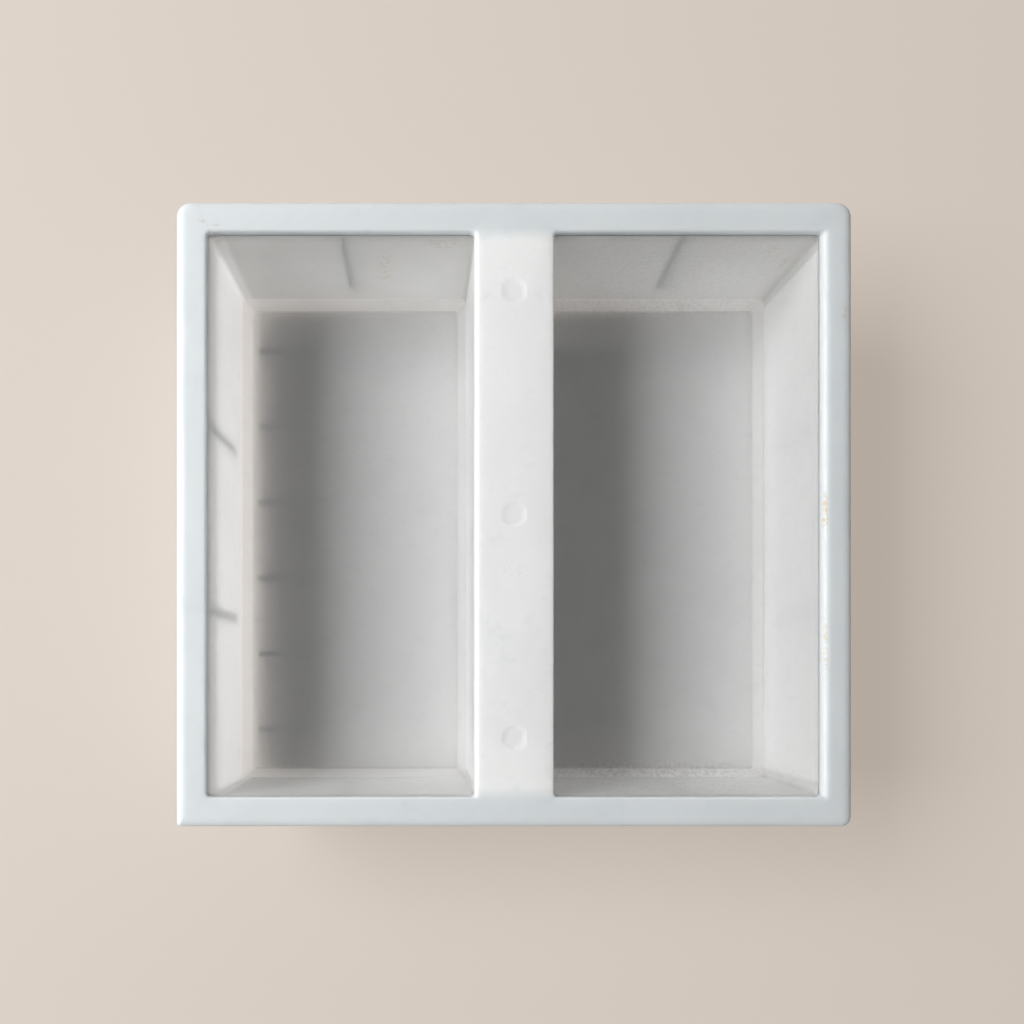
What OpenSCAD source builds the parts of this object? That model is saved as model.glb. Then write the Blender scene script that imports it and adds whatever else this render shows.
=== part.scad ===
// Two-cavity mould for concrete paving blocks, moulded in white plastic.
// X runs across the two cavities, Y runs along them and Z is up.
// The origin is the middle of the footprint, on the surface that the mould stands on.

/* [Cavities] */
// Length of each cavity opening, along Y
cavity_l = 200; // [120:1:300]
// Width of each cavity opening, along X
cavity_w = 95; // [60:1:150]
// Depth of each cavity, from the top of the rim to its floor
cavity_d = 60; // [45:1:90]
// How far each wall leans in on its way down to the floor chamfer
wall_draft = 1.5; // [0.2:0.1:3]
// Radius of the upright corners inside each cavity
inner_corner_r = 1.5; // [0.5:0.1:5]
// Width of the chamfer that runs around each cavity floor
chamfer_w = 3.5; // [1:0.5:7]
// Height of the chamfer that runs around each cavity floor
chamfer_h = 4; // [1:0.5:7]
// Thickness of the cavity walls
wall_t = 3; // [2:0.1:4]
// Thickness of the cavity floors
floor_t = 3; // [2:0.1:5]

/* [Rim] */
// Width of the rim outside the cavities
rim_w = 10.5; // [9:0.5:25]
// Width of the divider between the two cavities
divider_w = 28; // [16:1:50]
// Thickness of the rim plate
rim_t = 3.5; // [2.5:0.1:6]
// Rounding of the outer upper edge of the rim
rim_edge_r = 3; // [0.5:0.1:5]
// Plan radius of the back left corner
corner_back_left_r = 5; // [1:0.1:10]
// Plan radius of the back right corner
corner_back_right_r = 5; // [1:0.1:10]
// Plan radius of the front right corner
corner_front_right_r = 3.5; // [1:0.1:10]
// Plan radius of the front left corner
corner_front_left_r = 1.2; // [1:0.1:10]
// Height of the turned-down lip, measured from the top of the rim
lip_h = 9; // [7:0.5:25]
// Thickness of the turned-down lip
lip_t = 2.5; // [1.5:0.1:3.5]

/* [Ejector marks] */
// Diameter of the round ejector marks on the divider
pin_mark_d = 8; // [4:0.5:12]
// Depth of the round ejector marks
pin_mark_depth = 0.3; // [0.1:0.1:1]
// Distance from the end of the divider to the outer ejector marks
pin_mark_inset = 21; // [12:1:40]

/* [Gussets and webs] */
// Thickness of the gussets between the walls and the lip
gusset_t = 2.5; // [1.5:0.1:5]
// Height of the lower end of each gusset above the floor chamfer
gusset_lift = 8.5; // [1:0.5:20]
// Width of each gusset at its lower end
gusset_foot_w = 1.5; // [0.5:0.1:4]
// Thickness of the webs that tie the cavities together under the divider
web_t = 3; // [1.5:0.1:6]
// Height of the lower edge of each web above the floor chamfer
web_lift = 22; // [4:0.5:30]

/* [Underside] */
// Height of the ribs under the cavity floors
rib_h = 4; // [3:0.5:10]
// Thickness of the ribs under the cavity floors
rib_t = 2.5; // [1.5:0.1:5]
// Distance from each end of a rib to the edge of the floor's underside
rib_end_inset = 3; // [1:0.5:10]
// How far the ends of a rib lean in on their way down
rib_end_lean = 2; // [0.5:0.5:6]
// Diameter of the gate stub under each cavity floor
gate_d = 6; // [3:0.5:10]
// Height of the gate stub under each cavity floor
gate_h = 1.5; // [0.5:0.1:2.5]

/* [Hidden] */

// Smoothness of the round corners and of the round marks
corner_fn = 48;
mark_fn = 96;
// How far a cutting shape runs past the face that it cuts
overcut = 1;
// Side of the part that a piece is on
LEFT = -1;
RIGHT = 1;
FRONT = -1;
BACK = 1;

// Heights above the surface that the mould stands on
pan_z = rib_h;
floor_z = pan_z + floor_t;
chamfer_z = floor_z + chamfer_h;
top_z = floor_z + cavity_d;
plate_z = top_z - rim_t;
lip_z = top_z - lip_h;

// Half sizes of the whole rim, and the middle of each cavity
rim_half_x = divider_w / 2 + cavity_w + rim_w;
rim_half_y = cavity_l / 2 + rim_w;
cavity_x = (divider_w + cavity_w) / 2;

// The rounding stays inside the thickness of the rim plate
edge_flat = 0.3;
edge_r = min(rim_edge_r, rim_t - edge_flat);

// The floor's underside is wider than the floor by this much on each side
pan_grow = floor_t / 2;
floor_size = cavity_size(chamfer_z) - [2 * chamfer_w, 2 * chamfer_w];
pan_size = floor_size + [2 * pan_grow, 2 * pan_grow];

// Gussets stand at a sixth of the cavity's length on each side of its middle
gusset_y = cavity_l / 6;
gusset_z = chamfer_z + gusset_lift;
web_z = chamfer_z + web_lift;

// The ribs share out the length of the floor evenly
RIB_COUNT = 6;
rib_pitch = floor_size[1] / RIB_COUNT;

// Outer ejector marks, with a web under each of them
pin_mark_y = cavity_l / 2 - pin_mark_inset;

// How far a wall has leaned in at height z
function lean(z) = wall_draft * (top_z - z) / (cavity_d - chamfer_h);

// Width and length of a cavity at height z, above the floor chamfer
function cavity_size(z) = [cavity_w - 2 * lean(z), cavity_l - 2 * lean(z)];

// Width and length around the outside of the walls at height z
function wall_size(z) = cavity_size(z) + [2 * wall_t, 2 * wall_t];

// Distance from the middle of the part to the outer face of a cavity's end wall
function end_wall_y(z) = wall_size(z)[1] / 2;

// Distance from the middle of the part to the outer face of a cavity's outer wall
function side_wall_x(z) = cavity_x + wall_size(z)[0] / 2;

// Distance from the middle of the part to a wall's face under the divider
function inner_wall_x(z) = cavity_x - wall_size(z)[0] / 2;

// A rectangle with round corners, centred on the origin
module round_rectangle(size, r) {
    hull()
        for (x = [-1, 1], y = [-1, 1])
            translate([x * (size[0] / 2 - r), y * (size[1] / 2 - r)])
                circle(r, $fn = corner_fn);
}

// A block with round corners and straight sides that widens from one size to another
module taper(z0, size0, z1, size1, r) {
    widening = [size1[0] / size0[0], size1[1] / size0[1]];
    translate([0, 0, z0])
        linear_extrude(z1 - z0, scale = widening, slices = 1, segments = 0)
            round_rectangle(size0, r);
}

// The space of one cavity above its floor chamfer, run past both ends
module cavity_space() {
    z0 = chamfer_z - overcut;
    z1 = top_z + overcut;
    taper(z0, cavity_size(z0), z1, cavity_size(z1), inner_corner_r);
}

// Moves its children to the middle of a cavity
module at_cavity(side) {
    translate([side * cavity_x, 0, 0])
        children();
}

// One quarter of the rim's outline, whose corner has its own radius
module outline_quarter(side_x, side_y, inset, corner_r) {
    r = max(corner_r - inset, edge_flat);
    half_x = rim_half_x - inset;
    half_y = rim_half_y - inset;
    scale([side_x, side_y])
        union() {
            square([half_x - r, half_y]);
            square([half_x, half_y - r]);
            translate([half_x - r, half_y - r])
                circle(r, $fn = corner_fn);
        }
}

// Outline of the rim seen from above, drawn in by an inset
module outline(inset = 0) {
    outline_quarter(LEFT, BACK, inset, corner_back_left_r);
    outline_quarter(RIGHT, BACK, inset, corner_back_right_r);
    outline_quarter(RIGHT, FRONT, inset, corner_front_right_r);
    outline_quarter(LEFT, FRONT, inset, corner_front_left_r);
}

// Section of the rim plate with both upper edges rounded
module plate_section(half_width) {
    square_h = rim_t - edge_r;
    translate([-half_width, plate_z])
        square([2 * half_width, square_h]);
    translate([edge_r - half_width, plate_z])
        square([2 * (half_width - edge_r), rim_t]);
    for (side = [LEFT, RIGHT])
        translate([side * (half_width - edge_r), top_z - edge_r])
            circle(edge_r, $fn = corner_fn);
}

// Flat plate around both cavities, with the ejector marks on the divider
module rim_plate() {
    color("#e6e9e9")
        difference() {
            intersection() {
                translate([0, 0, plate_z])
                    linear_extrude(rim_t)
                        outline();
                translate([0, rim_half_y, 0])
                    rotate([90, 0, 0])
                        linear_extrude(2 * rim_half_y)
                            plate_section(rim_half_x);
                translate([-rim_half_x, 0, 0])
                    rotate([90, 0, 90])
                        linear_extrude(2 * rim_half_x)
                            plate_section(rim_half_y);
            }
            for (side = [LEFT, RIGHT])
                at_cavity(side)
                    cavity_space();
            for (y = [-pin_mark_y, 0, pin_mark_y])
                translate([0, y, top_z - pin_mark_depth])
                    cylinder(pin_mark_depth + overcut, d = pin_mark_d, $fn = mark_fn);
        }
}

// Lip turned down from the outer edge of the rim plate
module rim_lip() {
    color("#e2e5e5")
        translate([0, 0, lip_z])
            linear_extrude(plate_z - lip_z)
                difference() {
                    outline();
                    outline(lip_t);
                }
}

// The four drafted walls of one cavity
module cavity_walls(side) {
    color("#dde1e2")
        at_cavity(side)
            difference() {
                taper(chamfer_z, wall_size(chamfer_z), plate_z, wall_size(plate_z),
                      inner_corner_r + wall_t);
                cavity_space();
            }
}

// The floor of one cavity, up to the top of its chamfer
module cavity_floor(side) {
    over_size = floor_size + [2 * chamfer_w, 2 * chamfer_w] * (chamfer_h + overcut) / chamfer_h;
    color("#ced2d4")
        at_cavity(side)
            difference() {
                taper(pan_z, pan_size, chamfer_z, wall_size(chamfer_z), inner_corner_r + wall_t);
                taper(floor_z, floor_size, chamfer_z + overcut, over_size, inner_corner_r);
            }
}

// A gusset's outline, from the wall face out to the lip, for any wall position
module gusset_shape(wall_top, wall_low, lip_face) {
    polygon([
        [wall_top, plate_z],
        [lip_face, plate_z],
        [lip_face, lip_z],
        [wall_low + gusset_foot_w, gusset_z],
        [wall_low, gusset_z]
    ]);
}

// Gusset between a cavity's outer side wall and the lip
module side_gusset(side, end) {
    color("#dadedf")
        translate([0, end * gusset_y + gusset_t / 2, 0])
            rotate([90, 0, 0])
                linear_extrude(gusset_t)
                    scale([side, 1])
                        gusset_shape(side_wall_x(plate_z), side_wall_x(gusset_z),
                                     rim_half_x - lip_t);
}

// Gusset between a cavity's end wall and the lip
module end_gusset(end, side) {
    color("#dadedf")
        translate([side * cavity_x - gusset_t / 2, 0, 0])
            rotate([90, 0, 90])
                linear_extrude(gusset_t)
                    scale([end, 1])
                        gusset_shape(end_wall_y(plate_z), end_wall_y(gusset_z),
                                     rim_half_y - lip_t);
}

// Web across the gap under the divider
module divider_web(y) {
    top_x = inner_wall_x(plate_z);
    low_x = inner_wall_x(web_z);
    color("#dadedf")
        translate([0, y + web_t / 2, 0])
            rotate([90, 0, 0])
                linear_extrude(web_t)
                    polygon([[-top_x, plate_z], [top_x, plate_z], [low_x, web_z], [-low_x, web_z]]);
}

// Crosswise rib under a cavity floor, counted from the front
module floor_rib(side, count) {
    y = (count - (RIB_COUNT + 1) / 2) * rib_pitch;
    half_x = pan_size[0] / 2 - rib_end_inset;
    color("#d4d8d9")
        at_cavity(side)
            translate([0, y + rib_t / 2, 0])
                rotate([90, 0, 0])
                    linear_extrude(rib_t)
                        polygon([
                            [-half_x, pan_z],
                            [half_x, pan_z],
                            [half_x - rib_end_lean, 0],
                            [rib_end_lean - half_x, 0]
                        ]);
}

// Stub left by the injection gate under a cavity floor
module gate_stub(side) {
    color("#d4d8d9")
        at_cavity(side)
            translate([0, 0, pan_z - gate_h])
                cylinder(gate_h, d = gate_d, $fn = mark_fn);
}

rim_plate();
rim_lip();
cavity_walls(LEFT);  // left_cavity_walls
cavity_floor(LEFT);  // left_cavity_floor
cavity_walls(RIGHT);  // right_cavity_walls
cavity_floor(RIGHT);  // right_cavity_floor
side_gusset(LEFT, FRONT);  // gusset_left_front
side_gusset(LEFT, BACK);  // gusset_left_back
side_gusset(RIGHT, FRONT);  // gusset_right_front
side_gusset(RIGHT, BACK);  // gusset_right_back
end_gusset(FRONT, LEFT);  // gusset_front_left
end_gusset(FRONT, RIGHT);  // gusset_front_right
end_gusset(BACK, LEFT);  // gusset_back_left
end_gusset(BACK, RIGHT);  // gusset_back_right
divider_web(-pin_mark_y);  // divider_web_front
divider_web(0);  // divider_web_middle
divider_web(pin_mark_y);  // divider_web_back
for (count = [1 : RIB_COUNT])
    floor_rib(LEFT, count);
for (count = [1 : RIB_COUNT])
    floor_rib(RIGHT, count);
gate_stub(LEFT);  // left_gate_stub
gate_stub(RIGHT);  // right_gate_stub
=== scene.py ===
"""Looks of a two-cavity mould for concrete paving blocks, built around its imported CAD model.

X runs across the two cavities, Y runs along them and Z is up, all in metres.
The mould is one moulding of white, slightly translucent plastic.
"""

import math

import bmesh
import bpy
import numpy as np
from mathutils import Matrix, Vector, noise


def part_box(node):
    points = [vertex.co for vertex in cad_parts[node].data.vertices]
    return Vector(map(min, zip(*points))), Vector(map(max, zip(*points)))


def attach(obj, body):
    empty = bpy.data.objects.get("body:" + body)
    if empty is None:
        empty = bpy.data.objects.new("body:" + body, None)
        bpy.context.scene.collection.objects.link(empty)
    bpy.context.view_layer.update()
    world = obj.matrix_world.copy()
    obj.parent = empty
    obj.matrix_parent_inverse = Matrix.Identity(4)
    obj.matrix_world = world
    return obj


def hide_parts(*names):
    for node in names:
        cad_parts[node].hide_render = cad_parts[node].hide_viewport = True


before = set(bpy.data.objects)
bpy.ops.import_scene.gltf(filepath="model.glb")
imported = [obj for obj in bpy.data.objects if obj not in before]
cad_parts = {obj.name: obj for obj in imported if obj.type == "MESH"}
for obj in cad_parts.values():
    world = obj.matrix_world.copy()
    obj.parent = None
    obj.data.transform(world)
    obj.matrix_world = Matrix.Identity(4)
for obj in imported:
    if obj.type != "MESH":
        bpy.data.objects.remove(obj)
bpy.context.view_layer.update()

MM = 0.001
LEFT, RIGHT = -1, 1
SIDE_NAME = {LEFT: "left", RIGHT: "right"}
scene = bpy.context.scene


# Sizes, read from the frame or repeated from the CAD source

plate_low, plate_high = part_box("rim_plate")
lip_low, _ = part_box("rim_lip")
walls_low, walls_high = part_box("right_cavity_walls")
pan_low, pan_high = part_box("right_cavity_floor")
web_low, web_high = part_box("divider_web_back")

WALL_T = 3 * MM
FLOOR_T = 3 * MM
LIP_T = 2.5 * MM
CHAMFER_W = 3.5 * MM
INNER_CORNER_R = 1.5 * MM
CORNER_R = {("left", "back"): 5 * MM, ("right", "back"): 5 * MM,
            ("right", "front"): 3.5 * MM, ("left", "front"): 1.2 * MM}

TOP = plate_high.z
PLATE = plate_low.z
LIP = lip_low.z
CHAMFER_TOP = pan_high.z
PAN = pan_low.z
FLOOR = PAN + FLOOR_T
HALF_X = plate_high.x
HALF_Y = plate_high.y
CAVITY_X = (walls_low.x + walls_high.x) / 2

# How far a wall leans in for each metre that it goes down
LEAN = (walls_high.x - pan_high.x) / (PLATE - CHAMFER_TOP)
OPEN_HALF_W = pan_high.x - CAVITY_X - WALL_T + LEAN * (TOP - CHAMFER_TOP)
OPEN_HALF_L = pan_high.y - WALL_T + LEAN * (TOP - CHAMFER_TOP)
DIVIDER_HALF_W = CAVITY_X - OPEN_HALF_W
RIM_W = HALF_X - CAVITY_X - OPEN_HALF_W
PIN_MARK_Y = (web_low.y + web_high.y) / 2
PIN_MARKS_Y = (-PIN_MARK_Y, 0, PIN_MARK_Y)


# Camera, straight above the front left part of the mould, with its frame shifted to the right and up

FRAME_PX = 1024
NADIR_PX = (436.9, 682.8)
FOCAL_PX = 939
SENSOR_MM = 36
CAMERA_XY = (-27.3 * MM, -59.6 * MM)
CAMERA_ABOVE_RIM = 331.6 * MM


def add_camera():
    data = bpy.data.cameras.new("camera")
    data.sensor_width = SENSOR_MM
    data.lens = FOCAL_PX / FRAME_PX * SENSOR_MM
    data.shift_x = (FRAME_PX / 2 - NADIR_PX[0]) / FRAME_PX
    data.shift_y = (NADIR_PX[1] - FRAME_PX / 2) / FRAME_PX
    data.clip_start = 10 * MM
    camera = bpy.data.objects.new("camera", data)
    camera.location = (*CAMERA_XY, TOP + CAMERA_ABOVE_RIM)
    scene.collection.objects.link(camera)
    scene.camera = camera


# Mesh helpers

def mesh_object(name, points, faces):
    """A smooth piece from points and faces, welded, with its normals facing out."""
    mesh = bpy.data.meshes.new(name)
    mesh.from_pydata([tuple(p) for p in points], [], faces)
    bm = bmesh.new()
    bm.from_mesh(mesh)
    bmesh.ops.remove_doubles(bm, verts=bm.verts, dist=1e-6)
    bmesh.ops.dissolve_degenerate(bm, edges=bm.edges, dist=1e-7)
    bmesh.ops.recalc_face_normals(bm, faces=bm.faces)
    unused = [v for v in bm.verts if not v.link_faces]
    bmesh.ops.delete(bm, geom=unused, context="VERTS")
    bm.to_mesh(mesh)
    bm.free()
    mesh.polygons.foreach_set("use_smooth", [True] * len(mesh.polygons))
    piece = bpy.data.objects.new(name, mesh)
    scene.collection.objects.link(piece)
    weighted = piece.modifiers.new("even_shading", "WEIGHTED_NORMAL")
    weighted.keep_sharp = True
    return piece


def quads(row_count, row_length, closed_rows=False, skip=None):
    """Faces between rows of points that are numbered row by row, where each row is a closed loop.

    closed_rows also joins the last row to the first, and skip(row, i) leaves a face out.
    """
    faces = []
    for row in range(row_count if closed_rows else row_count - 1):
        here, after = row * row_length, (row + 1) % row_count * row_length
        for i in range(row_length):
            j = (i + 1) % row_length
            if skip is None or not skip(row, i):
                faces.append((here + i, here + j, after + j, after + i))
    return faces


def line(x, y):
    """Points where one coordinate, or both, are a list and the other is one number."""
    x, y = np.broadcast_arrays(np.asarray(x, float), np.asarray(y, float))
    return np.column_stack([x, y])


def arc(centre, r, start_deg, end_deg, steps):
    """Points on an arc, both ends included."""
    angles = np.radians(np.linspace(start_deg, end_deg, steps + 1))
    return np.column_stack([centre[0] + r * np.cos(angles), centre[1] + r * np.sin(angles)])


def at_height(flat, z, side=RIGHT):
    """A row of flat points raised to z, on one side of the mould."""
    return np.column_stack([flat[:, 0] * side, flat[:, 1], np.broadcast_to(z, len(flat))])


def quarter_steps(r, steps):
    """Distances from the edge at which a quarter round of radius r is sampled, from 0 to r."""
    return r * (1 - np.cos(np.linspace(0, math.pi / 2, steps + 1)))


def rounding_drop(distance, width, height):
    """How far a quarter round lies below its flat, at a distance from its edge."""
    inside = np.clip((width - distance) / width, 0, 1)
    return height * (1 - np.sqrt(1 - inside ** 2))


def smooth(edge0, edge1, value):
    """0 at edge0, 1 at edge1 and an even S curve between them."""
    t = np.clip((value - edge0) / (edge1 - edge0), 0, 1)
    return t * t * (3 - 2 * t)


def waves(x, y, seed, size, amount):
    """Slow, smooth unevenness of a surface, about amount high and size long."""
    return np.array([noise.noise(Vector((a / size, b / size, seed))) for a, b in zip(x, y)]) * amount


# Rim: the plate with its divider and turned-down lip, as one skin.
# Each half is made in (u, y), where u runs outward from the middle of the divider, the seam.

EDGE_W = 3.2 * MM
EDGE_H = 1.5 * MM
LIP_TURN_R = 0.8 * MM
LIP_CORNER_R = 0.4 * MM
CROWN = 0.3 * MM
CROWN_REACH = 12 * MM
PIN_MARK_R = 4 * MM
PIN_MARK_DEPTH = 0.3 * MM
PIN_MARK_EDGE = (0.3 * MM, 0.5 * MM)

# Unevenness of the upper face, as a seed, a size and an amount
UNEVEN = ((3.1, 45 * MM, 0.35 * MM), (8.4, 12 * MM, 0.08 * MM))

# Rounding of the opening's edge at the seam side, the outer side and both ends
OPENING_EDGE_R = {LEFT: (1.6 * MM, 0.6 * MM, 0.8 * MM), RIGHT: (0.4 * MM, 2.6 * MM, 0.9 * MM)}

CORNER_STEPS = 12
EDGE_STEPS = CORNER_STEPS // 2
FILLET_ROWS = np.array([3.0, 2.3, 1.7, 1.2, 0.8, 0.5, 0.3, 0.15, 0.05, 0]) * MM
FLAT_ROWS = 12
WALL_ROWS = 3
UNDER_ROWS = 3
LIP_ROWS = 4

# Places along the rim's sides: coarse ones, and fine ones round the ejector marks
ACROSS = np.arange(104, 19, -5.0) * MM
OUTER_SIDE = np.arange(-96, 96.1, 3.0) * MM
COARSE = np.arange(-96, 96.1, 1.5) * MM
FINE = np.arange(-5, 5.01, 0.5) * MM
FINE_REACH = 5.6 * MM


def seam_places():
    """Places along the seam from back to front, closer together round the ejector marks."""
    places = [y for y in COARSE if min(abs(y - mark) for mark in PIN_MARKS_Y) > FINE_REACH]
    places += [mark + step for mark in PIN_MARKS_Y for step in FINE]
    return np.array(sorted(places))[::-1]


def outer_loop(half_x, half_y, back_r, front_r):
    """The outline of one half of the rim, or its lip's inner face, from the outer back corner round."""
    spread = quarter_steps(EDGE_W, EDGE_STEPS)
    return np.vstack([
        arc((half_x - back_r, half_y - back_r), back_r, 0, 90, CORNER_STEPS),
        line(ACROSS, half_y),
        line(spread[:0:-1], half_y),
        line(0, half_y - spread),
        line(0, seam_places()),
        line(0, -half_y + spread[::-1]),
        line(spread[1:], -half_y),
        line(ACROSS[::-1], -half_y),
        arc((half_x - front_r, front_r - half_y), front_r, 270, 360, CORNER_STEPS),
        line(half_x, OUTER_SIDE),
    ])


def opening_edges(z):
    """The seam side, outer side and end of an opening at height z."""
    lean = LEAN * (TOP - z)
    return DIVIDER_HALF_W + lean, CAVITY_X + OPEN_HALF_W - lean, OPEN_HALF_L - lean


def opening_loop(z):
    """The outline of an opening at height z, with as many points as the outer loop."""
    near, far, end = opening_edges(z)
    r = INNER_CORNER_R
    return np.vstack([
        arc((far - r, end - r), r, 0, 90, CORNER_STEPS),
        line(ACROSS, end),
        arc((near + r, end - r), r, 90, 180, CORNER_STEPS),
        line(near, seam_places()),
        arc((near + r, r - end), r, 180, 270, CORNER_STEPS),
        line(ACROSS[::-1], -end),
        arc((far - r, r - end), r, 270, 360, CORNER_STEPS),
        line(far, OUTER_SIDE),
    ])


def edge_radii(side, opening):
    """The rounding of the opening's edge at each point of its loop, blended round the corners."""
    seam_r, outer_r, end_r = OPENING_EDGE_R[side]
    near, far, _ = opening_edges(TOP)
    corner = INNER_CORNER_R * 0.4
    radii = np.full(len(opening), end_r)
    radii[opening[:, 0] < near + corner] = seam_r
    radii[opening[:, 0] > far - corner] = outer_r
    reach = 5
    kernel = np.hanning(2 * reach + 1)
    kernel /= kernel.sum()
    padded = np.concatenate([radii[-reach:], radii, radii[:reach]])
    return np.convolve(padded, kernel, mode="valid")


def box_distance(x, y, half_x, half_y, r):
    """Distance from a point out to a box with rounded corners, negative inside it."""
    qx = np.abs(x) - half_x + r
    qy = np.abs(y) - half_y + r
    outside = np.hypot(np.maximum(qx, 0), np.maximum(qy, 0))
    return outside + np.minimum(np.maximum(qx, qy), 0) - r


def outline_distance(x, y):
    """Distance from a point in to the rim's outline."""
    r = np.where(x > 0, np.where(y > 0, CORNER_R["right", "back"], CORNER_R["right", "front"]),
                 np.where(y > 0, CORNER_R["left", "back"], CORNER_R["left", "front"]))
    return -box_distance(x, y, HALF_X, HALF_Y, r)


def opening_distance(x, y):
    """Distance from a point out to the nearest opening."""
    return box_distance(np.abs(x) - CAVITY_X, y, OPEN_HALF_W, OPEN_HALF_L, INNER_CORNER_R)


def rim_height(x, y, edge_r):
    """Height of the rim's upper face."""
    z = TOP - rounding_drop(outline_distance(x, y), EDGE_W, EDGE_H)
    z -= rounding_drop(opening_distance(x, y), edge_r, edge_r)
    for seed, size, amount in UNEVEN:
        z -= np.abs(waves(x, y, seed, size, amount))
    off = np.abs(x)
    on_divider = smooth(DIVIDER_HALF_W + CROWN_REACH, DIVIDER_HALF_W, off)
    z -= CROWN * np.clip(off / DIVIDER_HALF_W, 0, 1) ** 2 * on_divider
    outside, inside = PIN_MARK_EDGE
    for mark_y in PIN_MARKS_Y:
        away = np.hypot(x, y - mark_y)
        z -= PIN_MARK_DEPTH * smooth(PIN_MARK_R + outside, PIN_MARK_R - inside, away)
    return z


def lip_profile():
    """The lip's section from the plate down its inner face and up its outer one, as (inset, z)."""
    bend = [(LIP_TURN_R * (1 - math.cos(a)), LIP + LIP_TURN_R * (1 - math.sin(a)))
            for a in np.radians(np.linspace(0, 90, 5))[1:]]
    down = [(LIP_T, z) for z in np.linspace(PLATE, LIP + LIP_TURN_R, LIP_ROWS)[1:]]
    up = [(0, z) for z in np.linspace(LIP + LIP_TURN_R, TOP - EDGE_H, LIP_ROWS + 1)[:-1]]
    return down + [(LIP_T - inset, z) for inset, z in bend] + bend[::-1] + up


def rim_half(side):
    """The rows of points of one half of the rim, and its faces, which leave the seam open."""
    name = SIDE_NAME[side]
    back_r, front_r = CORNER_R[name, "back"], CORNER_R[name, "front"]
    outline = outer_loop(HALF_X, HALF_Y, back_r, front_r)
    lip = outer_loop(HALF_X - LIP_T, HALF_Y - LIP_T,
                     max(back_r - LIP_T, LIP_CORNER_R), max(front_r - LIP_T, LIP_CORNER_R))
    opening, low_opening = opening_loop(TOP), opening_loop(PLATE)
    radii = edge_radii(side, opening)

    flat_rows = np.linspace(EDGE_W, RIM_W - FILLET_ROWS[0], FLAT_ROWS + 2)[1:-1]
    steps = np.concatenate([quarter_steps(EDGE_W, EDGE_STEPS), flat_rows, RIM_W - FILLET_ROWS])
    rows = []
    for share in steps / RIM_W:
        flat = outline + (opening - outline) * share
        rows.append(at_height(flat, rim_height(flat[:, 0] * side, flat[:, 1], radii), side))
    start = rows[-1][:, 2]
    for k in range(1, WALL_ROWS + 1):
        z = start + (PLATE - start) * k / WALL_ROWS
        down = ((TOP - z) / (TOP - PLATE))[:, None]
        rows.append(at_height(opening + (low_opening - opening) * down, z, side))
    for k in range(1, UNDER_ROWS + 1):
        rows.append(at_height(low_opening + (lip - low_opening) * k / UNDER_ROWS, PLATE, side))
    lip_start = len(rows) - 1
    for inset, z in lip_profile():
        rows.append(at_height(outline + (lip - outline) * inset / LIP_T, z, side))

    on_seam = outline[:, 0] == 0
    seam_edge = on_seam & np.roll(on_seam, -1)
    faces = quads(len(rows), len(outline), closed_rows=True,
                  skip=lambda row, i: row >= lip_start and seam_edge[i])
    if side == LEFT:
        faces = [face[::-1] for face in faces]
    return np.vstack(rows), faces


def add_rim():
    points, faces = [], []
    for side in (LEFT, RIGHT):
        half_points, half_faces = rim_half(side)
        base = sum(len(p) for p in points)
        faces += [tuple(base + i for i in face) for face in half_faces]
        points.append(half_points)
    piece = mesh_object("rim", np.vstack(points), faces)
    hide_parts("rim_plate", "rim_lip")
    return piece


# Cavities: walls, chamfer and floor of each one, as one skin

ROW_SPACING = 5 * MM
FLOOR_CAP = 2 * MM
RING_CORNER_STEPS = 8
RING_ACROSS = np.linspace(-1, 1, 19)[1:-1]
RING_ALONG = np.linspace(-1, 1, 41)[1:-1]
CHAMFER_EDGES_R = (0.8 * MM, 0.8 * MM)
UNDER_EDGES_R = (2 * MM, 1.5 * MM)
FILLET_STEPS = 5


def fillet_path(corners, radii):
    """A path through the corners, each one between the ends rounded by its radius."""
    path = [np.array(corners[0], float)]
    for k, r in enumerate(radii, 1):
        before, here, after = (np.array(corners[k + d], float) for d in (-1, 0, 1))
        a = (before - here) / np.linalg.norm(before - here)
        b = (after - here) / np.linalg.norm(after - here)
        half = math.acos(np.clip(a @ b, -1, 1)) / 2
        reach = r / math.tan(half)
        centre = here + (a + b) / np.linalg.norm(a + b) * r / math.sin(half)
        first, last = here + a * reach - centre, here + b * reach - centre
        turn = math.acos(np.clip(first @ last / r ** 2, -1, 1))
        for s in np.linspace(0, 1, FILLET_STEPS + 1):
            mix = (math.sin((1 - s) * turn) * first + math.sin(s * turn) * last) / math.sin(turn)
            path.append(centre + mix)
    path.append(np.array(corners[-1], float))
    return path


def with_rows(path):
    """The path with extra points on its long stretches."""
    full = [path[0]]
    for a, b in zip(path, path[1:]):
        count = max(1, int(np.linalg.norm(b - a) / ROW_SPACING))
        full += [a + (b - a) * k / count for k in range(1, count + 1)]
    return full


def cavity_ring(inset, z, r):
    """A closed ring of a cavity's section, an inset inside the opening's outline."""
    half_w, half_l = OPEN_HALF_W - inset, OPEN_HALF_L - inset
    r = min(r, half_w, half_l)
    across, along = RING_ACROSS * (half_w - r), RING_ALONG * (half_l - r)
    flat = np.vstack([
        arc((half_w - r, half_l - r), r, 0, 90, RING_CORNER_STEPS), line(across[::-1], half_l),
        arc((r - half_w, half_l - r), r, 90, 180, RING_CORNER_STEPS), line(-half_w, along[::-1]),
        arc((r - half_w, r - half_l), r, 180, 270, RING_CORNER_STEPS), line(across, -half_l),
        arc((half_w - r, r - half_l), r, 270, 360, RING_CORNER_STEPS), line(half_w, along),
    ])
    return at_height(flat, z)


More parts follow.
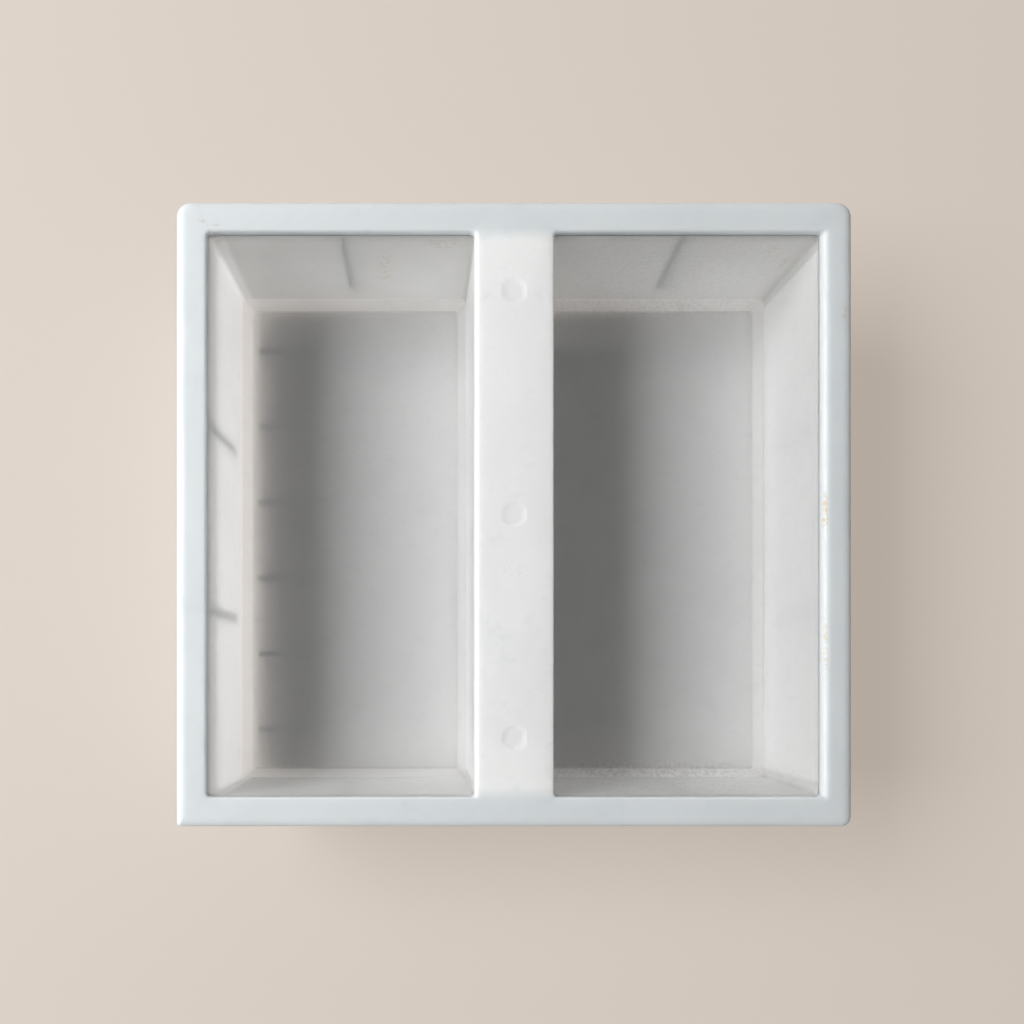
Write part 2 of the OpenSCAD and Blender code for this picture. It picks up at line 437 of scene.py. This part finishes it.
def add_cavity(side):
    at_plate, at_chamfer = LEAN * (TOP - PLATE), LEAN * (TOP - CHAMFER_TOP)
    floor_edge = at_chamfer + CHAMFER_W
    middle = OPEN_HALF_W - FLOOR_CAP
    inner = fillet_path([(middle, FLOOR), (floor_edge, FLOOR), (at_chamfer, CHAMFER_TOP), (at_plate, PLATE)],
                        CHAMFER_EDGES_R)
    outer = fillet_path([(at_plate - WALL_T, PLATE), (at_chamfer - WALL_T, CHAMFER_TOP),
                         (floor_edge - FLOOR_T / 2, PAN), (middle, PAN)], UNDER_EDGES_R)
    rings = [cavity_ring(inset, z, INNER_CORNER_R) for inset, z in with_rows(inner)]
    rings += [cavity_ring(inset, z, INNER_CORNER_R + WALL_T) for inset, z in with_rows(outer)]
    length = len(rings[0])
    faces = quads(len(rings), length)
    faces.append(tuple(range(length)))
    faces.append(tuple(range((len(rings) - 1) * length, len(rings) * length))[::-1])
    name = SIDE_NAME[side]
    piece = mesh_object(f"{name}_cavity", np.vstack(rings) + np.array([side * CAVITY_X, 0, 0]), faces)
    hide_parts(f"{name}_cavity_walls", f"{name}_cavity_floor")
    return piece


# Shader helpers

def add_node(tree, kind, **inputs):
    """A new shader node with some of its sockets set, by socket name."""
    made = tree.nodes.new(kind)
    for key, value in inputs.items():
        made.inputs[key.replace("_", " ")].default_value = value
    return made


def math_node(tree, operation, *values):
    """The result of a sum on sockets or numbers."""
    made = add_node(tree, "ShaderNodeMath")
    made.operation = operation
    for socket, value in zip(made.inputs, values):
        if isinstance(value, float):
            socket.default_value = value
        else:
            tree.links.new(value, socket)
    return made.outputs["Value"]


def ramp(tree, value, low, high, to_low=0.0, to_high=1.0):
    """A socket that goes smoothly from to_low to to_high while value goes from low to high."""
    step = add_node(tree, "ShaderNodeMapRange", From_Min=low, From_Max=high, To_Min=to_low, To_Max=to_high)
    step.interpolation_type = "SMOOTHSTEP"
    tree.links.new(value, step.inputs["Value"])
    return step.outputs["Result"]


def tint(tree, base, mask, colour):
    """The base colour turned to another one where the mask is 1."""
    mix = tree.nodes.new("ShaderNodeMix")
    mix.data_type = "RGBA"
    tree.links.new(mask, mix.inputs["Factor"])
    if isinstance(base, tuple):
        mix.inputs["A"].default_value = (*base, 1)
    else:
        tree.links.new(base, mix.inputs["A"])
    mix.inputs["B"].default_value = (*colour, 1)
    return mix.outputs["Result"]


def grain(tree, place, scale, detail, stretch=(1, 1, 1)):
    """Noise with features about 1 / scale metres wide."""
    mapping = add_node(tree, "ShaderNodeMapping", Scale=stretch)
    tree.links.new(place, mapping.inputs["Vector"])
    texture = add_node(tree, "ShaderNodeTexNoise", Scale=scale, Detail=detail, Roughness=0.55)
    tree.links.new(mapping.outputs["Vector"], texture.inputs["Vector"])
    return texture.outputs["Fac"]


def blot(tree, place, centre_mm, half_size_mm, speckle, amount):
    """A ragged patch round a place on the mould, as a mask."""
    mapping = add_node(tree, "ShaderNodeMapping", Scale=[1 / (s * MM) for s in half_size_mm],
                       Location=[-c / s for c, s in zip(centre_mm, half_size_mm)])
    tree.links.new(place, mapping.inputs["Vector"])
    length = add_node(tree, "ShaderNodeVectorMath")
    length.operation = "LENGTH"
    tree.links.new(mapping.outputs["Vector"], length.inputs[0])
    near = ramp(tree, length.outputs["Value"], 1.0, 0.3)
    ragged = math_node(tree, "MULTIPLY", near, ramp(tree, speckle, 0.42, 0.62))
    return math_node(tree, "MULTIPLY", ragged, amount)


def seen(tree, share):
    """A share for what the camera sees, also mirrored or through something clear, and 0 for other rays."""
    rays = tree.nodes.new("ShaderNodeLightPath")
    total = rays.outputs["Is Camera Ray"]
    for kind in ("Is Glossy Ray", "Is Transmission Ray"):
        total = math_node(tree, "MAXIMUM", total, rays.outputs[kind])
    return math_node(tree, "MULTIPLY", total, share)


# White plastic that lets light through, with its tones, painted light and shade, haze, scuffs and dirt

BROWN = (0.50, 0.38, 0.24)
OCHRE = (0.62, 0.47, 0.24)
GREY = (0.34, 0.34, 0.33)
HAZE = (0.60, 0.60, 0.58)

RIM_TONE = (0.73, 0.765, 0.78)
# Painted light: the divider's whiter tone stands in for light from the lit walls beside it
DIVIDER_PAINTED_LIGHT = (0.98, 0.985, 0.975)
CAVITY_TONE = (0.87, 0.885, 0.885)
# Painted shade: the cavities' end walls are darker because they are not lit straight on
END_WALL_PAINTED_SHADE = (0.66, 0.665, 0.655)
# Painted light: the outer left wall is whiter, as a glow of the light that comes through it
LEFT_WALL_PAINTED_GLOW = (0.95, 0.96, 0.96)
# Painted light: the chamfers are whiter so that they look more brightly lit
CHAMFER_PAINTED_LIGHT = (0.98, 0.985, 0.985)
UNDERSIDE_TONE = (0.84, 0.86, 0.86)
CHAMFER_LIGHT_SHARE = 0.9
DARKER = 0.88

# How far light goes into the plastic
RIM_LIGHT_DEPTH = 4 * MM
CAVITY_LIGHT_DEPTH = 22 * MM
UNDERSIDE_LIGHT_DEPTH = 20 * MM
PLASTIC_IOR = 1.49

# Dirt and painted shade as its place and half size in mm, its colour and its strength
RIM_DIRT_AND_SHADE = [
    ((110.2, 0, 66), (1.2, 13, 3), OCHRE, 0.75),
    ((110.2, -46, 66), (1.0, 17, 3), OCHRE, 0.5),
    ((116.8, 71, 66), (1.5, 4, 3), OCHRE, 0.45),
    ((14.6, 98.5, 66), (1.2, 1.0, 3), GREY, 0.9),
    ((14.6, -98.6, 66), (1.2, 0.9, 3), GREY, 0.9),
    ((-14.9, -4, 66), (0.6, 0.6, 2), BROWN, 0.9),
    ((-14.2, -51.5, 66), (0.6, 0.6, 2), BROWN, 0.9),
    # Painted shade: a dark line in the gap where the rim meets the left cavity's back wall at its corner
    ((-106, 102, 66), (4, 0.6, 2), GREY, 0.4),
    ((-110, 103.5, 67), (2.4, 1.2, 2), BROWN, 0.3),
    ((0, -20, 67), (9, 5, 3), GREY, 0.10),
]
CAVITY_DIRT_AND_SHADE = [
    # Painted shadow: a brown smear where a gusset's shadow shows through the left cavity's back wall
    ((-47, 98, 40), (5, 4, 20), BROWN, 0.35),
    ((-25, 98, 58), (13, 4, 7), BROWN, 0.30),
    ((96, 98, 52), (4, 3, 10), BROWN, 0.30),
    ((104, 98, 44), (5, 3, 7), BROWN, 0.25),
    # Painted shade: grey over the right cavity's front and back walls, which are darker because they are not
    # lit straight on
    ((61.5, -97, 35), (80, 8, 70), GREY, 0.30),
    ((61.5, 97, 35), (80, 8, 70), GREY, 0.14),
    ((-98, 50, 9), (1.0, 1.0, 3), GREY, 0.5),
]


def rim_painted_light(tree, split, colour):
    """Painted light: the divider is lighter than the rest of the rim, for the light that the lit walls
    beside it pass into it.
    """
    off, along = (math_node(tree, "ABSOLUTE", split.outputs[axis]) for axis in "XY")
    across = ramp(tree, off, 17 * MM, 12 * MM)
    short_of_ends = ramp(tree, along, 102 * MM, 94 * MM)
    return tint(tree, colour, math_node(tree, "MULTIPLY", across, short_of_ends), DIVIDER_PAINTED_LIGHT)


def cavity_painted_light_and_shade(tree, split, colour):
    """Painted shade on the end walls, darker where they are not lit straight on, and painted light on the
    outer left wall, as a glow of light coming through it, and on the chamfers.
    """
    along = math_node(tree, "ABSOLUTE", split.outputs["Y"])
    colour = tint(tree, colour, ramp(tree, along, 94 * MM, 96 * MM), END_WALL_PAINTED_SHADE)
    colour = tint(tree, colour, ramp(tree, split.outputs["X"], -102 * MM, -105 * MM), LEFT_WALL_PAINTED_GLOW)
    above_floor = ramp(tree, split.outputs["Z"], 7.1 * MM, 7.6 * MM)
    below_wall = ramp(tree, split.outputs["Z"], 12 * MM, 11 * MM)
    chamfer = math_node(tree, "MULTIPLY", above_floor, below_wall)
    return tint(tree, colour, math_node(tree, "MULTIPLY", chamfer, CHAMFER_LIGHT_SHARE), CHAMFER_PAINTED_LIGHT)


def add_plastic(name, tone, depth, light_and_shade_by_place=None, dirt_and_shade=(), haze=0.0):
    """Plastic of one tone, with painted light and shade by place from a function, a film of haze, and
    patches of dirt and of painted shade.
    """
    mat = bpy.data.materials.new(name)
    mat.use_nodes = True
    tree = mat.node_tree
    link = tree.links.new
    shader = tree.nodes["Principled BSDF"]
    place = tree.nodes.new("ShaderNodeTexCoord").outputs["Object"]
    split = tree.nodes.new("ShaderNodeSeparateXYZ")
    link(place, split.inputs["Vector"])
    clouds = grain(tree, place, 28, 4.0)
    mottle = grain(tree, place, 140, 4.0)
    speckle = grain(tree, place, 700, 3.0)

    colour = light_and_shade_by_place(tree, split, tone) if light_and_shade_by_place else tone
    dark = tuple(c * DARKER for c in tone)
    colour = tint(tree, colour, ramp(tree, clouds, 0.45, 0.75, 0, 0.35), dark)
    colour = tint(tree, colour, ramp(tree, mottle, 0.52, 0.75, 0, 0.22), dark)
    if haze:
        colour = tint(tree, colour, ramp(tree, speckle, 0.55, 0.75, 0, haze), HAZE)
    # Patches of dirt, and some patches of painted shade and painted shadow
    for centre_mm, half_size_mm, patch_colour, amount in dirt_and_shade:
        colour = tint(tree, colour, blot(tree, place, centre_mm, half_size_mm, speckle, amount), patch_colour)
    link(colour, shader.inputs["Base Color"])
    link(ramp(tree, mottle, 0.3, 0.7, 0.36, 0.52), shader.inputs["Roughness"])

    ripple = grain(tree, place, 420, 2.0)
    scuffs = ramp(tree, grain(tree, place, 90, 6.0, (1, 9, 9)), 0.62, 0.7)
    bumps = []
    for height, strength, distance in ((ripple, 0.12, 0.3 * MM), (scuffs, 0.10, 0.1 * MM)):
        bump = add_node(tree, "ShaderNodeBump", Strength=strength, Distance=distance)
        link(height, bump.inputs["Height"])
        bumps.append(bump)
    link(bumps[0].outputs["Normal"], bumps[1].inputs["Normal"])
    link(bumps[1].outputs["Normal"], shader.inputs["Normal"])

    shader.inputs["IOR"].default_value = PLASTIC_IOR
    shader.inputs["Subsurface Weight"].default_value = 1.0
    shader.inputs["Subsurface Radius"].default_value = (1.0, 1.0, 1.0)
    shader.inputs["Subsurface Scale"].default_value = depth
    return mat


# Gussets, webs, ribs and gate stubs: the CAD solids, with softened edges

SOFT_EDGE = 0.35 * MM
SOFT_EDGE_ANGLE_DEG = 30
WELD_DISTANCE = 0.01 * MM


def soften(cad_node, mat):
    cad_node.data.materials.clear()
    cad_node.data.materials.append(mat)
    weld = cad_node.modifiers.new("weld", "WELD")
    weld.merge_threshold = WELD_DISTANCE
    bevel = cad_node.modifiers.new("soft_edges", "BEVEL")
    bevel.width = SOFT_EDGE
    bevel.segments = 2
    bevel.limit_method = "ANGLE"
    bevel.angle_limit = math.radians(SOFT_EDGE_ANGLE_DEG)


# Floor. Its own pale tone fills in a part of what the camera sees, which keeps its shadow pale.

FLOOR_LIT = (0.74, 0.68, 0.64)
FLOOR_TONE = (0.69, 0.60, 0.52)
FLOOR_FILL = 0.62
FLOOR_ROUGHNESS = 0.9
FLOOR_HALF = 3.0


def add_floor():
    mesh = bpy.data.meshes.new("floor")
    corners = [(-1, -1), (1, -1), (1, 1), (-1, 1)]
    mesh.from_pydata([(x * FLOOR_HALF, y * FLOOR_HALF, 0) for x, y in corners], [], [(0, 1, 2, 3)])
    floor = bpy.data.objects.new("floor", mesh)
    scene.collection.objects.link(floor)

    mat = bpy.data.materials.new("floor")
    mat.use_nodes = True
    tree = mat.node_tree
    shader = tree.nodes["Principled BSDF"]
    shader.inputs["Base Color"].default_value = (*FLOOR_LIT, 1)
    shader.inputs["Roughness"].default_value = FLOOR_ROUGHNESS
    own_tone = add_node(tree, "ShaderNodeEmission", Color=(*FLOOR_TONE, 1), Strength=1.0)
    blend = tree.nodes.new("ShaderNodeMixShader")
    tree.links.new(seen(tree, FLOOR_FILL), blend.inputs[0])
    tree.links.new(shader.outputs["BSDF"], blend.inputs[1])
    tree.links.new(own_tone.outputs["Emission"], blend.inputs[2])
    tree.links.new(blend.outputs["Shader"], tree.nodes["Material Output"].inputs["Surface"])
    mesh.materials.append(mat)


# Light: one wide window to the left, and a surround that is brighter low down

KEY_ANGLE_DEG = 43
KEY_BACK = 0.12
KEY_DISTANCE = 1.6
KEY_LENGTH = 1.3
KEY_WIDTH = 0.78
KEY_WATTS = 31
SKY_COLOUR = (0.97, 0.99, 1.0)
SKY_LOW = 0.45
SKY_HIGH = 0.06
SKY_LOW_Z = 0.15
SKY_HIGH_Z = 0.45


def add_window():
    data = bpy.data.lights.new("window", "AREA")
    data.shape = "RECTANGLE"
    data.size, data.size_y = KEY_LENGTH, KEY_WIDTH
    data.energy = KEY_WATTS
    window = bpy.data.objects.new("window", data)
    angle = math.radians(KEY_ANGLE_DEG)
    toward = Vector((-math.sin(angle), KEY_BACK, math.cos(angle))).normalized()
    window.location = toward * KEY_DISTANCE
    window.rotation_mode = "QUATERNION"
    window.rotation_quaternion = toward.to_track_quat("Z", "Y")
    scene.collection.objects.link(window)


def add_surround():
    world = bpy.data.worlds.new("surround")
    world.use_nodes = True
    tree = world.node_tree
    split = tree.nodes.new("ShaderNodeSeparateXYZ")
    tree.links.new(tree.nodes.new("ShaderNodeTexCoord").outputs["Generated"], split.inputs["Vector"])
    light = tree.nodes["Background"]
    light.inputs["Color"].default_value = (*SKY_COLOUR, 1)
    strength = ramp(tree, split.outputs["Z"], SKY_LOW_Z, SKY_HIGH_Z, SKY_LOW, SKY_HIGH)
    tree.links.new(strength, light.inputs["Strength"])
    backdrop = add_node(tree, "ShaderNodeBackground", Color=(*FLOOR_TONE, 1), Strength=1.0)
    blend = tree.nodes.new("ShaderNodeMixShader")
    tree.links.new(seen(tree, 1.0), blend.inputs[0])
    tree.links.new(light.outputs["Background"], blend.inputs[1])
    tree.links.new(backdrop.outputs["Background"], blend.inputs[2])
    tree.links.new(blend.outputs["Shader"], tree.nodes["World Output"].inputs["Surface"])
    scene.world = world


# The whole scene

add_camera()

rim_white = add_plastic("rim_white", RIM_TONE, RIM_LIGHT_DEPTH, light_and_shade_by_place=rim_painted_light, dirt_and_shade=RIM_DIRT_AND_SHADE)
cavity_white = add_plastic("cavity_white", CAVITY_TONE, CAVITY_LIGHT_DEPTH, light_and_shade_by_place=cavity_painted_light_and_shade,
                           dirt_and_shade=CAVITY_DIRT_AND_SHADE, haze=0.12)
hidden_white = add_plastic("hidden_white", UNDERSIDE_TONE, UNDERSIDE_LIGHT_DEPTH)

skins = ((add_rim(), rim_white), (add_cavity(LEFT), cavity_white), (add_cavity(RIGHT), cavity_white))
for piece, mat in skins:
    piece.data.materials.append(mat)
    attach(piece, "root")

for cad_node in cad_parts.values():
    if not cad_node.hide_render:
        soften(cad_node, hidden_white)

add_floor()
add_window()
add_surround()
scene.view_settings.view_transform = "Standard"
